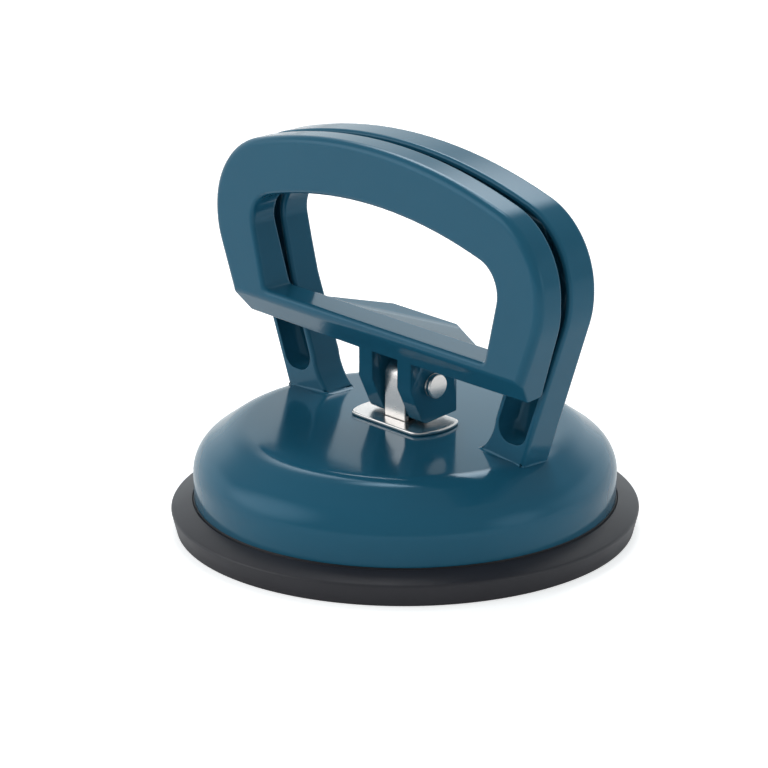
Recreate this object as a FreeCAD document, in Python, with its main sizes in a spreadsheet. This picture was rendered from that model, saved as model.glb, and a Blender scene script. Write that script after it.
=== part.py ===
"""Suction lifter for floor tiles: one rubber pad under a cast dome, worked by a cam lever.

Millimetres. The origin is the middle of the pad's foot, +X runs along the grip, +Y points from the
lever to the fixed handle and +Z is up. Every driving size stands once in the sheet "Sizes"; a Dim
carries such a size both as a number and as the expression that binds a feature to its cell.
"""
import FreeCAD
import Part
import math
import os
import Sketcher
from FreeCAD import Placement, Rotation, Vector

SIZES = [
    # rubber pad
    ("pad_radius", 59.2, "widest radius of the pad, at its ridge"),
    ("pad_foot_inset", 1.4, "foot's edge in from the ridge"),
    ("pad_ridge_height", 5.6, "height of the ridge"),
    ("pad_land_height", 8.0, "height of the land under the dome's rim"),
    ("pad_lip_width", 7.0, "width of the flat lip on the tile"),
    ("pad_dish_depth", 1.8, "lift of the underside's middle at rest"),
    ("pad_web", 3.4, "thickness of the pad's middle"),
    # cast dome
    ("rim_inset", 6.0, "dome's rim in from the pad's ridge"),
    ("band_draft", 0.2, "how far the band over the rim leans out"),
    ("crease_rise", 11.0, "height of the band over the land"),
    ("shoulder_inset", 10.6, "shoulder in from the crease"),
    ("shoulder_rise", 7.7, "shoulder over the crease"),
    ("crown_rise", 1.0, "rise of the crown from the shoulder to its middle"),
    ("dome_wall", 2.8, "wall of the casting"),
    ("dome_crease_round", 9.0, "rounding of the crease"),
    ("dome_shoulder_round", 1.6, "rounding of the shoulder"),
    ("dome_rib_count", 8, "number of ribs under the crown"),
    ("dome_rib_width", 1.8, "thickness of a rib"),
    ("dome_rib_drop", 4.0, "how far a rib hangs below the crown"),
    # outline shared by the fixed handle and the lever
    ("handle_height", 100.3, "height of the grip"),
    ("handle_over", 0.4, "grip's side out from the pad's ridge"),
    ("leg_foot_over", 0.4, "outer edge of a leg out from the dome's shoulder"),
    ("waist_rise", 41.7, "waist, where a leg meets the grip's side, over the shoulder"),
    ("crown_radius", 155.0, "radius of the grip's top"),
    ("shoulder_radius", 21.2, "radius of the grip's upper corners"),
    ("waist_radius", 23.0, "radius between a leg and the grip's side"),
    ("grip_depth", 14.7, "height of the grip's section"),
    ("grip_side", 15.0, "width of the grip's section at the side"),
    ("window_side_drop", 28.3, "top of the grip over the opening's widest place"),
    ("window_side_round", 14.0, "radius of the opening's side there"),
    ("window_corner", 8.0, "radius of the opening's upper corners"),
    ("knee_width", 14.0, "width of a leg at the knee"),
    ("knee_rise", 1.0, "knee over the lever's sill"),
    ("calf_width", 13.6, "width of a leg above its foot"),
    ("calf_rise", 8.8, "flare's start over the crown"),
    ("foot_width", 15.7, "width of a leg's flared foot"),
    ("foot_radius", 13.0, "radius of the flare"),
    # fixed handle across
    ("fixed_front", -1.0, "front face of the fixed handle"),
    ("fixed_back_foot", 8.5, "back face at the feet"),
    ("fixed_back", 7.6, "back face of the grip"),
    ("fixed_back_rise", 10.0, "where the back stops leaning, over the sill"),
    ("fixed_wall", 1.6, "wall round the fixed handle's channel"),
    ("fixed_web", 1.9, "thickness behind the fixed handle's channel"),
    ("channel_rise", 3.8, "lowest point of the channel over the crown"),
    ("channel_foot_round", 4.0, "radius at the channel's lower end"),
    # lever
    ("lever_front", -11.6, "front face of the lever's foot"),
    ("lever_front_top", -11.8, "front face at the grip's top"),
    ("lever_back", -1.6, "back face of the lever's foot"),
    ("lever_back_top", -3.6, "back face of the grip"),
    ("bar_rise", 7.0, "underside of the lever's bar over the pin"),
    ("lever_bottom_rise", 0.8, "rise of that underside to the back"),
    ("bar_height", 8.8, "height of the lever's bar"),
    ("bar_strip", 2.4, "upright strip over the bar's bevel"),
    ("bevel_depth", 4.7, "depth of the bar's bevel"),
    ("lever_wall", 2.2, "wall of the lever"),
    ("lever_floor", 2.4, "thickness in front of the lever's channel"),
    ("sill_round", 1.6, "rounding of the opening's lower corners"),
    ("web_back", 7.0, "back edge of the web"),
    ("web_half_width", 11.7, "half of that edge"),
    ("web_reach", 28.2, "half of the web's width at the bar"),
    ("web_thickness", 3.0, "thickness of the web"),
    ("web_drop", 0.8, "web's top below the opening's lower edge"),
    # lugs, pin and strap
    ("lug_inner", 4.5, "inner face of a lug"),
    ("lug_outer", 9.7, "outer face of a lug"),
    ("lug_back", 8.8, "back face of a lug"),
    ("lug_nose", -2.5, "lower front corner of a lug"),
    ("lug_nose_round", 2.2, "rounding of that corner"),
    ("lug_kink", 0.4, "where a lug's front starts to slant, below the pin"),
    ("lug_heel_rise", 1.2, "rise of a lug's underside to the back"),
    ("cam_gap", 0.4, "lug over the wear plate at rest"),
    ("pin_y", 0.5, "place of the pin across"),
    ("pin_rise", 10.3, "pin over the wear plate"),
    ("pin_radius", 2.5, "radius of the pin"),
    ("pin_fit", 0.05, "running clearance round the pin"),
    ("pin_head_rim", 0.6, "rim of the pin's head over its shank"),
    ("pin_head_length", 1.9, "length of the pin's head"),
    ("pin_line", 0.3, "width and depth of the line turned in the head"),
    ("pin_line_place", 0.4, "that line from the head's inner face"),
    ("pin_tail", 2.4, "pin beyond the lug"),
    ("pin_chamfer", 0.4, "chamfer of the pin's end"),
    ("clip_thickness", 0.8, "thickness of the retaining clip"),
    ("clip_rim", 1.9, "rim of the retaining clip over the pin"),
    ("clip_groove", 0.5, "depth of the clip's groove"),
    ("side_play", 0.15, "play beside the lugs"),
    ("strap_play", 0.75, "strap's edge to a lug"),
    ("strap_thickness", 1.4, "sheet of the strap"),
    ("strap_foot", 11.0, "reach of a strap foot from the pin"),
    ("strap_bend", 1.0, "inner radius of the strap's bends"),
    ("slot_gap", 0.4, "clearance round the strap"),
    # wear plate
    ("plate_radius", 14.1, "radius of the wear plate"),
    ("plate_flat", 7.8, "flat edges of the wear plate"),
    ("plate_thickness", 1.0, "thickness of the wear plate"),
    ("plate_chamfer", 0.3, "chamfer of its upper edge"),
    # under the dome
    ("core_radius", 22.0, "radius of the steel core plate"),
    ("core_thickness", 2.0, "thickness of the core plate"),
    ("rivet_radius", 1.6, "radius of a rivet's shank"),
    ("rivet_head_radius", 2.4, "radius of a rivet's head"),
    ("rivet_head_height", 1.2, "height of a rivet's head"),
    ("rivet_edge", 3.2, "rivet from the strap foot's end"),
    ("rivet_gap", 0.05, "clearance round a rivet"),
    ("spring_radius", 13.6, "mean radius of the return spring"),
    ("spring_wire", 1.6, "square wire of the return spring"),
    ("spring_turns", 3.5, "turns of the return spring"),
    ("spring_gap", 0.1, "play of the spring at its seats"),
    ("spigot_wall", 1.6, "wall of the spring's locating ring"),
    ("spigot_drop", 4.0, "length of the locating ring"),
]


class Dim:
    """A size as a number and as the expression that a feature is bound to."""

    def __init__(self, value, text):
        self.value = float(value)
        self.text = text

    @staticmethod
    def of(other):
        return other if isinstance(other, Dim) else Dim(other, repr(other))

    def join(self, other, sign, value):
        return Dim(value, f"({self.text} {sign} {Dim.of(other).text})")

    def __add__(self, other):
        return self.join(other, "+", self.value + Dim.of(other).value)

    def __sub__(self, other):
        return self.join(other, "-", self.value - Dim.of(other).value)

    def __mul__(self, other):
        return self.join(other, "*", self.value * Dim.of(other).value)

    def __truediv__(self, other):
        return self.join(other, "/", self.value / Dim.of(other).value)

    def __neg__(self):
        return Dim(-self.value, f"(-{self.text})")

    def __rsub__(self, other):
        return Dim.of(other) - self

    __radd__ = __add__
    __rmul__ = __mul__


def root(dim):
    """Square root of a Dim."""
    return Dim(math.sqrt(dim.value), f"sqrt({dim.text})")


class Sizes:
    """The sheet of driving sizes; each alias is an attribute that gives a Dim."""

    def __init__(self, doc):
        sheet = doc.addObject("Spreadsheet::Sheet", "Sizes")
        for row, (alias, value, note) in enumerate(SIZES, start=1):
            sheet.set(f"A{row}", note)
            sheet.set(f"B{row}", str(value))
            sheet.setAlias(f"B{row}", alias)
            setattr(self, alias, Dim(value, f"Sizes.{alias}"))


doc = FreeCAD.newDocument("tile_lifter")
s = Sizes(doc)
doc.recompute()
NODES = []

# Shares of a size at which one form ends inside or beside another -----------------------------------
MIDDLE = 0.5  # of a wall: where a form that grows out of it starts
LEG_DEPTH = 0.9  # of the dome's wall: how deep the fixed handle's legs go into it
FOOT_SINK = 0.4  # of half the dome's wall: how deep the legs' inner feet start
CREASE_INSET = 0.35  # of the dome's wall: the inner crease below the outer one
SHOULDER_INSET = 0.4  # of the dome's wall: the inner shoulder inside the outer one
LAND_REACH = 0.25  # of the lip's width: the pad's land past the inner face of the rim
CLIP_PLAY = 0.5  # of the pin's side play: the clip's play in its groove
MOUTH_WIDTH = 0.7  # of the pin's radius: half the clip's mouth
CUT_REACH = 1.5  # of a disc's radius: how far a cut across it goes

# Sizes that follow from others -------------------------------------------------------------------
pad_foot_radius = s.pad_radius - s.pad_foot_inset
rim_radius = s.pad_radius - s.rim_inset
crease_radius = rim_radius + s.band_draft
crease_height = s.pad_land_height + s.crease_rise
dome_shoulder = crease_radius - s.shoulder_inset
dome_shoulder_height = crease_height + s.shoulder_rise
dome_height = dome_shoulder_height + s.crown_rise
plate_top = dome_height + s.plate_thickness
nose_height = plate_top + s.cam_gap
pin_height = plate_top + s.pin_rise
pin_head_radius = s.pin_radius + s.pin_head_rim
clip_radius = s.pin_radius + s.clip_rim
bar_bottom = pin_height + s.bar_rise
sill = bar_bottom + s.bar_height
bevel_top = sill - s.bar_strip
bevel_back = s.lever_front + s.bevel_depth
web_bottom = sill - s.web_drop - s.web_thickness
core_bottom = s.pad_dish_depth + s.pad_web
core_top = core_bottom + s.core_thickness
crown_underside = dome_height - s.dome_wall
leg_root = dome_height - s.dome_wall * LEG_DEPTH
channel_foot = dome_height + s.channel_rise
calf_height = dome_height + s.calf_rise
knee_height = sill + s.knee_rise
window_side = s.handle_height - s.window_side_drop
strap_half_width = s.lug_inner - s.strap_play
strap_radius = s.pin_radius + s.pin_fit + s.strap_thickness
crown_centre = s.handle_height - s.crown_radius
window_radius = s.crown_radius - s.grip_depth
handle_half_width = s.pad_radius + s.handle_over
window_half_width = handle_half_width - s.grip_side
leg_foot_x = dome_shoulder + s.leg_foot_over
waist_height = dome_shoulder_height + s.waist_rise
leg_flare = (handle_half_width - leg_foot_x) / s.waist_rise
leg_slant = root(1 + leg_flare * leg_flare)
calf_x = leg_foot_x + (calf_height - dome_shoulder_height) * leg_flare - s.calf_width
knee_x = leg_foot_x + (knee_height - dome_shoulder_height) * leg_flare - s.knee_width
foot_x = leg_foot_x - s.foot_width


# Drawing helpers ---------------------------------------------------------------------------------
def body(label):
    """A new body; it becomes a node when its label is in NODES."""
    made = doc.addObject("PartDesign::Body", label)
    made.Label = label
    return made


def node(made):
    """Keeps a body or a fusion as a node of the part."""
    NODES.append(made)
    return made


def bind(thing, prop, dim):
    """Ties a property to the sheet's cells that a length is made of."""
    thing.setExpression(prop, Dim.of(dim).text)


def sketch(owner, role, name, offset=None):
    """An empty sketch on one of the body's own origin planes, moved along its normal by offset."""
    made = owner.newObject("Sketcher::SketchObject", name)
    plane = [item for item in owner.Origin.OriginFeatures if item.Role == role][0]
    made.AttachmentSupport = [(plane, "")]
    made.MapMode = "FlatFace"
    if offset is not None:
        made.AttachmentOffset = Placement(Vector(0, 0, offset.value), Rotation())
        bind(made, "AttachmentOffset.Base.z", offset)
    return made


def place_point(made, geometry, end, x, y):
    """Drive one point of a sketch by its two distances from the origin."""
    for kind, dim in (("DistanceX", x), ("DistanceY", y)):
        dim = Dim.of(dim)
        index = made.addConstraint(Sketcher.Constraint(kind, -1, 1, geometry, end, dim.value))
        bind(made, f"Constraints[{index}]", dim)


def arc_through(start, end, radius):
    """Arc from start to end; a positive radius bulges to the right of the way from start to end."""
    chord = end - start
    middle = (start + end) * 0.5
    left = Vector(-chord.y, chord.x, 0).normalize()
    rise = math.sqrt(max(radius * radius - chord.Length ** 2 / 4, 0))
    centre = middle + left * (rise if radius > 0 else -rise)
    circle = Part.Circle(centre, Vector(0, 0, 1), abs(radius))
    first = math.atan2(start.y - centre.y, start.x - centre.x)
    last = math.atan2(end.y - centre.y, end.x - centre.x)
    if radius < 0:
        first, last = last, first
    return Part.ArcOfCircle(circle, first, last)


def outline(made, points, arcs=None):
    """A closed run of lines through points; arcs gives the radius of the stretch after a point."""
    arcs = arcs or {}
    corners = [Vector(Dim.of(x).value, Dim.of(y).value, 0) for x, y in points]
    runs = []
    for i, corner in enumerate(corners):
        following = corners[(i + 1) % len(corners)]
        if i in arcs:
            radius = Dim.of(arcs[i])
            runs.append((made.addGeometry(arc_through(corner, following, radius.value), False),
                         1 if radius.value > 0 else 2))
        else:
            runs.append((made.addGeometry(Part.LineSegment(corner, following), False), 1))
    for i, (geometry, first) in enumerate(runs):
        after, after_first = runs[(i + 1) % len(runs)]
        made.addConstraint(Sketcher.Constraint("Coincident", geometry, 3 - first, after, after_first))
        place_point(made, geometry, first, *points[i])
        if i in arcs:
            radius = Dim.of(arcs[i])
            size = radius if radius.value > 0 else -radius
            index = made.addConstraint(Sketcher.Constraint("Radius", geometry, size.value))
            bind(made, f"Constraints[{index}]", size)
    return made


def rounded(before, corner, after, radius):
    """Ends of the arc of this radius that rounds a left-hand corner between two straight runs."""
    (ax, ay), (bx, by), (cx, cy) = [(Dim.of(x), Dim.of(y)) for x, y in (before, corner, after)]
    in_x, in_y, out_x, out_y = bx - ax, by - ay, cx - bx, cy - by
    in_length = root(in_x * in_x + in_y * in_y)
    out_length = root(out_x * out_x + out_y * out_y)
    square = in_x * out_x + in_y * out_y
    reach = (in_length * out_length - square) / (in_x * out_y - in_y * out_x) * radius
    return [(bx - in_x / in_length * reach, by - in_y / in_length * reach),
            (bx + out_x / out_length * reach, by + out_y / out_length * reach)]


def disc(made, x, y, radius):
    """A circle driven by its middle and radius."""
    x, y, radius = Dim.of(x), Dim.of(y), Dim.of(radius)
    circle = Part.Circle(Vector(x.value, y.value, 0), Vector(0, 0, 1), radius.value)
    geometry = made.addGeometry(circle, False)
    index = made.addConstraint(Sketcher.Constraint("Radius", geometry, radius.value))
    bind(made, f"Constraints[{index}]", radius)
    place_point(made, geometry, 3, x, y)
    return made


def box_points(x0, x1, y0, y1):
    return [(x0, y0), (x1, y0), (x1, y1), (x0, y1)]


def feature(owner, kind, profile, length=None, both=False, turned=False, through=False):
    """A Pad or Pocket of a sketch: along its normal, against it, or both ways."""
    made = owner.newObject(f"PartDesign::{kind}", f"{profile.Name}_{kind.lower()}")
    made.Profile = profile
    if length is not None:
        made.Length = Dim.of(length).value
        bind(made, "Length", length)
    if through:
        made.Type = "ThroughAll"
    made.Reversed = turned
    made.Midplane = both
    settle(made)
    return made


def turned_body(owner, profile, kind="Revolution"):
    """A full turn of a sketch about the body's vertical axis."""
    made = owner.newObject(f"PartDesign::{kind}", f"{profile.Name}_turn")
    made.Profile = profile
    made.ReferenceAxis = (profile, ["V_Axis"])
    made.Angle = 360
    settle(made)
    return made


def settle(made):
    """Recompute and insist that the feature is sound and, for a cut, that it took something away."""
    doc.recompute()
    if "Invalid" in made.State or "Error" in made.State or made.Shape.isNull():
        raise RuntimeError(f"{made.Name} failed: {made.getStatusString()}")
    if made.TypeId in ("PartDesign::Pocket", "PartDesign::Groove"):
        if made.Shape.Volume > made.BaseFeature.Shape.Volume - 0.01:
            raise RuntimeError(f"{made.Name} cuts nothing")


def dress(owner, kind, name, size, chosen):
    """Fillet or chamfer the edges of the body's tip for which chosen(edge) holds."""
    base = owner.Tip
    names = [f"Edge{i}" for i, edge in enumerate(base.Shape.Edges, start=1) if chosen(edge)]
    if not names:
        raise RuntimeError(f"{name}: no edge to dress")
    made = owner.newObject(f"PartDesign::{kind}", name)
    made.Base = (base, names)
    prop = "Radius" if kind == "Fillet" else "Size"
    setattr(made, prop, Dim.of(size).value)
    bind(made, prop, size)
    settle(made)
    return made


def across(edge, spots, reach=0.6):
    """True for a straight edge along Y that stands within reach of one of the (x, z) spots."""
    if edge.Degenerated or edge.Curve.TypeId != "Part::GeomLine" or abs(edge.Curve.Direction.y) < 0.999:
        return False
    at = edge.Vertexes[0].Point
    return any(math.hypot(abs(at.x) - Dim.of(x).value, at.z - Dim.of(z).value) < reach for x, z in spots)


# Outline of the grip, shared by the fixed handle and the lever --------------------------------------
def leg_outer(height, inset):
    """Outer edge of a leg at a height, moved in by inset square to the edge."""
    return leg_foot_x + (height - dome_shoulder_height) * leg_flare - leg_slant * inset


def grip_outside(low, inset):
    """Right-hand points of the outside from low up to the crown arc, and the arc's radius."""
    side = handle_half_width - inset
    waist = dome_shoulder_height + (side + leg_slant * inset - leg_foot_x) / leg_flare
    radius = s.crown_radius - inset
    corner = crown_centre + root(radius * radius - side * side)
    return [(leg_outer(low, inset), low), (side, waist), (side, corner)], radius


def window_side_x(height, outset):
    """Side of the hand opening between the knee and its widest place."""
    slope = (window_half_width - knee_x) / (window_side - knee_height)
    return knee_x + (height - knee_height) * slope + outset


def window_top(outset):
    """Right-hand points of the opening from its widest place to its corner, and the arc's radius."""
    side = window_half_width + outset
    radius = window_radius + outset
    corner = crown_centre + root(radius * radius - side * side)
    return [(side, window_side), (side, corner)], radius


def mirrored(points):
    return [(-x, y) for x, y in reversed(points)]


def grip_rounding(owner, name, low, wall):
    """Round the corners of a grip's outline and of its channel, wall deep inside it."""
    for part, inset in (("_channel", wall), ("", Dim(0, "0"))):
        outside, _ = grip_outside(low, inset)
        inside, _ = window_top(inset)
        dress(owner, "Fillet", f"{name}{part}_waist", s.waist_radius - inset,
              lambda edge: across(edge, [outside[1]]))
        dress(owner, "Fillet", f"{name}{part}_shoulders", s.shoulder_radius - inset,
              lambda edge: across(edge, [outside[2]]))
        dress(owner, "Fillet", f"{name}{part}_window_side", s.window_side_round + inset,
              lambda edge: across(edge, [inside[0]]))
        dress(owner, "Fillet", f"{name}{part}_window_corners", s.window_corner + inset,
              lambda edge: across(edge, [inside[1]]))


# Rubber pad ----------------------------------------------------------------------------------------
pad = node(body("rubber_pad"))
lip_inner = pad_foot_radius - s.pad_lip_width
land_inner = rim_radius - s.dome_wall - s.pad_lip_width * LAND_REACH
turned_body(pad, outline(sketch(pad, "XZ_Plane", "pad_section"), [
    (0, s.pad_dish_depth),
    (s.core_radius, s.pad_dish_depth),
    (lip_inner, 0),
    (pad_foot_radius, 0),
    (s.pad_radius, s.pad_ridge_height),
    (rim_radius, s.pad_land_height),
    (land_inner, s.pad_land_height),
    (s.core_radius + s.pad_web, core_bottom),
    (0, core_bottom),
]))

# Steel core plate with the holes of the two rivets ---------------------------------------------------
rivet_y = s.strap_foot - s.rivet_edge
rivet_hole = s.rivet_radius + s.rivet_gap


def rivet_holes(owner, name, offset):
    """Both rivet holes, cut through everything that the sketch's plane meets."""
    holes = sketch(owner, "XY_Plane", name, offset)
    disc(holes, 0, s.pin_y + rivet_y, rivet_hole)
    disc(holes, 0, s.pin_y - rivet_y, rivet_hole)
    feature(owner, "Pocket", holes, through=True)


core = node(body("core_plate"))
feature(core, "Pad", disc(sketch(core, "XY_Plane", "core_disc", core_bottom), 0, 0, s.core_radius),
        s.core_thickness)
rivet_holes(core, "core_holes", core_top)

# Pull strap: a steel strip folded over the pin, its two feet riveted to the core plate ---------------
strap = node(body("pull_strap"))
sheet_top = core_top + s.strap_thickness
inner = strap_radius - s.strap_thickness
bend = s.strap_bend + s.strap_thickness
foot_start = strap_radius + s.strap_bend
right = [
    (s.strap_foot, core_top), (s.strap_foot, sheet_top), (foot_start, sheet_top),
    (strap_radius, sheet_top + s.strap_bend), (strap_radius, pin_height),
]
right_inside = [(foot_start, core_top), (inner, sheet_top + s.strap_bend), (inner, pin_height)]
strip = (right + [(Dim(0, "0"), pin_height + strap_radius)] + mirrored(right)
         + mirrored(right_inside)[::-1] + [(Dim(0, "0"), pin_height + inner)] + right_inside[::-1])
strap_arcs = {2: -s.strap_bend, 4: strap_radius, 5: strap_radius, 7: -s.strap_bend,
              11: bend, 13: -inner, 14: -inner, 16: bend}
feature(strap, "Pad", outline(sketch(strap, "YZ_Plane", "strap_strip"),
                              [(s.pin_y + y, z) for y, z in strip], strap_arcs),
        strap_half_width * 2, both=True)
rivet_holes(strap, "strap_holes", sheet_top)


# Rivets ------------------------------------------------------------------------------------------
def rivet(label, y):
    """A round-head rivet through a strap foot and the core plate, flush below."""
    made = node(body(label))
    profile = outline(sketch(made, "XZ_Plane", f"{label}_section"), [
        (0, core_bottom), (s.rivet_radius, core_bottom), (s.rivet_radius, sheet_top),
        (s.rivet_head_radius, sheet_top), (0, sheet_top + s.rivet_head_height),
    ], {3: (s.rivet_head_radius * s.rivet_head_radius + s.rivet_head_height * s.rivet_head_height)
           / (s.rivet_head_height * 2)})
    turned_body(made, profile)
    made.Placement.Base = Vector(0, y.value, 0)
    bind(made, "Placement.Base.y", y)


rivet("front_rivet", s.pin_y - rivet_y)
rivet("rear_rivet", s.pin_y + rivet_y)

# Pin with its head and clip groove --------------------------------------------------------------------
pin = node(body("pivot_pin"))
head_face = s.lug_outer + s.side_play
line_start = head_face + s.pin_line_place
groove = s.pin_radius - s.clip_groove
clip_room = s.clip_thickness + s.side_play * CLIP_PLAY
turned = outline(sketch(pin, "XZ_Plane", "pin_section"), [
    (-(head_face + s.pin_tail), 0),
    (head_face + s.pin_head_length, 0),
    (head_face + s.pin_head_length, pin_head_radius),
    (line_start + s.pin_line, pin_head_radius),
    (line_start + s.pin_line, pin_head_radius - s.pin_line),
    (line_start, pin_head_radius - s.pin_line),
    (line_start, pin_head_radius),
    (head_face, pin_head_radius),
    (head_face, s.pin_radius),
    (-head_face, s.pin_radius),
    (-head_face, groove),
    (-(head_face + clip_room), groove),
    (-(head_face + clip_room), s.pin_radius),
    (-(head_face + s.pin_tail - s.pin_chamfer), s.pin_radius),
    (-(head_face + s.pin_tail), s.pin_radius - s.pin_chamfer),
])
pin_turn = pin.newObject("PartDesign::Revolution", "pin_turn")
pin_turn.Profile = turned
pin_turn.ReferenceAxis = (turned, ["H_Axis"])
pin_turn.Angle = 360
settle(pin_turn)
pin.Placement.Base = Vector(0, s.pin_y.value, pin_height.value)
bind(pin, "Placement.Base.y", s.pin_y)
bind(pin, "Placement.Base.z", pin_height)

# Retaining clip in the pin's groove ------------------------------------------------------------------
clip = node(body("pin_clip"))
clip_back = head_face + clip_room - s.side_play * (CLIP_PLAY / 2)
flat = sketch(clip, "YZ_Plane", "clip_ring", -clip_back)
disc(flat, 0, 0, clip_radius)
disc(flat, 0, 0, groove + s.pin_fit)
feature(clip, "Pad", flat, s.clip_thickness)
mouth = sketch(clip, "YZ_Plane", "clip_mouth", -clip_back)
mouth_half = s.pin_radius * MOUTH_WIDTH
outline(mouth, box_points(-mouth_half, mouth_half, -clip_radius * CUT_REACH, 0))
feature(clip, "Pocket", mouth, through=True, turned=True)
clip.Placement.Base = Vector(0, s.pin_y.value, pin_height.value)
bind(clip, "Placement.Base.y", s.pin_y)
bind(clip, "Placement.Base.z", pin_height)

# Wear plate ------------------------------------------------------------------------------------------
slot_x = strap_half_width + s.slot_gap
slot_y = strap_radius + s.slot_gap
slot_points = box_points(-slot_x, slot_x, s.pin_y - slot_y, s.pin_y + slot_y)
plate = node(body("wear_plate"))
feature(plate, "Pad", disc(sketch(plate, "XY_Plane", "plate_disc", dome_height), 0, 0, s.plate_radius),
        s.plate_thickness)
far = s.plate_radius * CUT_REACH
flats = sketch(plate, "XY_Plane", "plate_flats", plate_top)
outline(flats, box_points(-far, far, -far, -s.plate_flat))
outline(flats, box_points(-far, far, s.plate_flat, far))
feature(plate, "Pocket", flats, through=True)
dress(plate, "Chamfer", "plate_edge", s.plate_chamfer,
      lambda edge: all(abs(vertex.Z - plate_top.value) < 0.01 for vertex in edge.Vertexes))
feature(plate, "Pocket", outline(sketch(plate, "XY_Plane", "plate_slot", plate_top), slot_points),
        through=True)

# Return spring ---------------------------------------------------------------------------------------
spring = node(body("return_spring"))
wire = s.spring_wire / 2
spring_low = core_top + wire + s.spring_gap
coil = spring.newObject("PartDesign::AdditiveHelix", "spring_coil")
section = outline(sketch(spring, "XZ_Plane", "spring_wire"), box_points(
    s.spring_radius - wire, s.spring_radius + wire, spring_low - wire, spring_low + wire))
coil.Profile = section
coil.ReferenceAxis = (section, ["V_Axis"])
coil.Mode = "height-turns-angle"
coil.Height = (crown_underside - core_top - s.spring_wire - s.spring_gap * 2).value
bind(coil, "Height", crown_underside - core_top - s.spring_wire - s.spring_gap * 2)
coil.Turns = s.spring_turns.value
bind(coil, "Turns", s.spring_turns)
settle(coil)

# Dome: a turned shell with ribs, the spring's locating ring and the strap's slot ----------------------
dome = body("dome_shell")
shell_inner = crease_radius - s.dome_wall
crease_inner = crease_height - s.dome_wall * CREASE_INSET
shoulder_inner = dome_shoulder - s.dome_wall * SHOULDER_INSET
rim = (rim_radius, s.pad_land_height)
crease = (crease_radius, crease_height)
shoulder = (dome_shoulder, dome_shoulder_height)
crown_top = (0, dome_height)
crease_ends = rounded(rim, crease, shoulder, s.dome_crease_round)
shoulder_ends = rounded(crease, shoulder, crown_top, s.dome_shoulder_round)
crown_edge, crown_foot = shoulder_ends[1]
crown_over = dome_height - crown_foot
crown_arc = (crown_edge * crown_edge + crown_over * crown_over) / (crown_over * 2)
turned_body(dome, outline(sketch(dome, "XZ_Plane", "dome_section"), [rim] + crease_ends + shoulder_ends + [
    crown_top,
    (0, crown_underside),
    (shoulder_inner, crown_underside),
    (shell_inner, crease_inner),
    (rim_radius - s.dome_wall, s.pad_land_height),
], {1: s.dome_crease_round, 3: s.dome_shoulder_round, 4: crown_arc}))
rib_low = crown_underside - s.dome_rib_drop
rib_start = s.spring_radius + s.spring_wire * 2
mid_wall = s.dome_wall * MIDDLE
shell_slope = (shell_inner - shoulder_inner) / (crown_underside - crease_inner)
rib_end = shell_inner - (rib_low - crease_inner) * shell_slope + mid_wall
rib = feature(dome, "Pad", outline(sketch(dome, "XZ_Plane", "dome_rib"), [
    (rib_start, rib_low), (rib_end, rib_low), (shoulder_inner, crown_underside + mid_wall),
    (rib_start, crown_underside + mid_wall),
]), s.dome_rib_width, both=True)
ribs = dome.newObject("PartDesign::PolarPattern", "dome_ribs")
ribs.Originals = [rib]
ribs.Axis = ([item for item in dome.Origin.OriginFeatures if item.Role == "Z_Axis"][0], [""])
ribs.Angle = 360
ribs.Occurrences = int(s.dome_rib_count.value)
bind(ribs, "Occurrences", s.dome_rib_count)
dome.Tip = ribs
settle(ribs)
spigot = sketch(dome, "XY_Plane", "spring_ring", crown_underside + mid_wall)
spigot_radius = s.spring_radius - wire - s.slot_gap
disc(spigot, 0, 0, spigot_radius)
disc(spigot, 0, 0, spigot_radius - s.spigot_wall)
feature(dome, "Pad", spigot, s.spigot_drop + mid_wall, turned=True)
feature(dome, "Pocket", outline(sketch(dome, "XY_Plane", "dome_slot", dome_height), slot_points),
        s.dome_wall * 2)

# Fixed handle, cast on the dome ----------------------------------------------------------------------
fixed = body("fixed_handle_form")
fixed_outside, fixed_crown = grip_outside(leg_root, Dim(0, "0"))
fixed_window, fixed_window_arc = window_top(Dim(0, "0"))
foot = [(foot_x, leg_root), (foot_x, dome_height - mid_wall * FOOT_SINK), (calf_x, calf_height),
        (knee_x, knee_height)]
fixed_opening = foot + fixed_window
arch = fixed_outside + mirrored(fixed_outside) + mirrored(fixed_opening)[::-1] + fixed_opening[::-1]
grip_arcs = {2: fixed_crown, 7: -s.foot_radius, 11: -fixed_window_arc, 15: -s.foot_radius}
feature(fixed, "Pad", outline(sketch(fixed, "XZ_Plane", "fixed_arch", -s.fixed_front), arch, grip_arcs),
        s.fixed_back_foot - s.fixed_front, turned=True)


def channel(owner, name, wall, low, offset, depth, turned):
    """Hollow out a grip from one face, leaving a wall along its outside and round its opening."""
    out_points, out_arc = grip_outside(low, wall)
    in_points, in_arc = window_top(wall)
    calf = calf_x + (knee_x - calf_x) * (low - calf_height) / (knee_height - calf_height) + wall
    knee = (knee_x + wall, knee_height)
    if low.value < knee_height.value:
        in_points = [(calf, low), knee] + in_points
    else:
        in_points = [(window_side_x(low, wall), low)] + in_points
    count = len(in_points)
    points = out_points + mirrored(out_points) + mirrored(in_points)[::-1] + in_points[::-1]
    region = sketch(owner, "XZ_Plane", name, offset)
    outline(region, points, {2: out_arc, 5 + count: -in_arc})
    feature(owner, "Pocket", region, depth, turned=turned)
    return out_points[0], in_points[0]


channel_ends = channel(fixed, "fixed_channel", s.fixed_wall, channel_foot, -s.fixed_front,
                       s.fixed_back - s.fixed_web - s.fixed_front, False)
grip_rounding(fixed, "fixed", leg_root, s.fixed_wall)
dress(fixed, "Fillet", "channel_feet", s.channel_foot_round, lambda edge: across(edge, channel_ends))

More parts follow.
